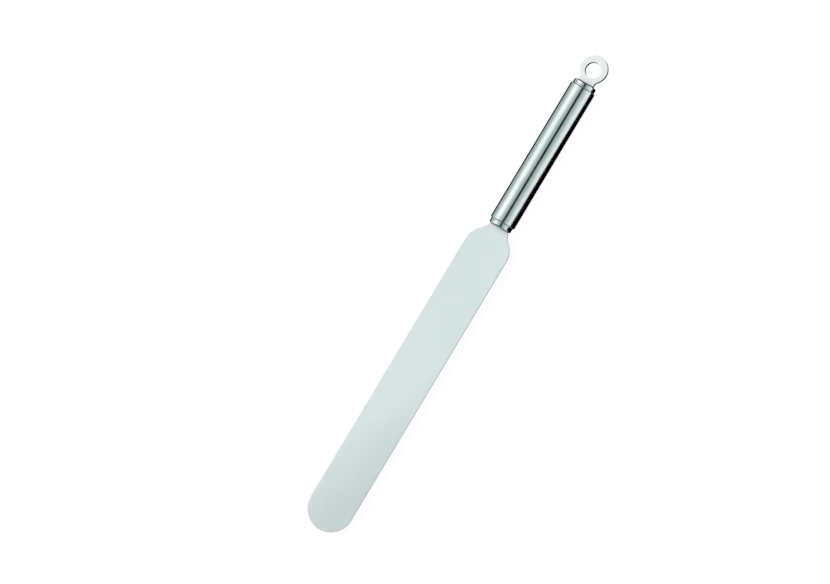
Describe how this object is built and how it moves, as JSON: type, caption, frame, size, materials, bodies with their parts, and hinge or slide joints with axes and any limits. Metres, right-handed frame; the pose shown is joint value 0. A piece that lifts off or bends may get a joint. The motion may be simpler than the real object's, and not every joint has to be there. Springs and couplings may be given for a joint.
{
  "type": "palette knife",
  "caption": "Straight icing spatula: long flexible steel blade with a full-round tip, round tubular handle with stepped end plugs and a flat hanging eye.",
  "frame": {"origin": "centre of the bounding box's bottom: halfway along the tool, on its axis, level with the underside of the handle it lies on", "axes": "+X along the tool towards the blade's tip, +Z out of the blade's face, +Y across the blade"},
  "size_m": [0.4043, 0.0356, 0.02],
  "materials": {
    "blade_steel": "fine satin, ground along the blade",
    "handle_steel": "brushed round the tube, semi-gloss",
    "plug_steel": "turned, semi-gloss",
    "eye_steel": "tumbled satin",
    "pin_steel": "drawn",
    "weld_steel": "polished weld"
  },
  "bodies": {
    "root": {"blade": "blade_steel", "handle_tube": "handle_steel", "front_plug": "plug_steel", "rear_plug": "plug_steel", "hanging_eye": "eye_steel", "tang_pin_front": "pin_steel", "tang_pin_rear": "pin_steel", "shank_pin": "pin_steel", "front_seam_weld": "weld_steel", "rear_seam_weld": "weld_steel", "blade_root_weld": "weld_steel", "eye_root_weld": "weld_steel"}
  },
  "joints": []
}
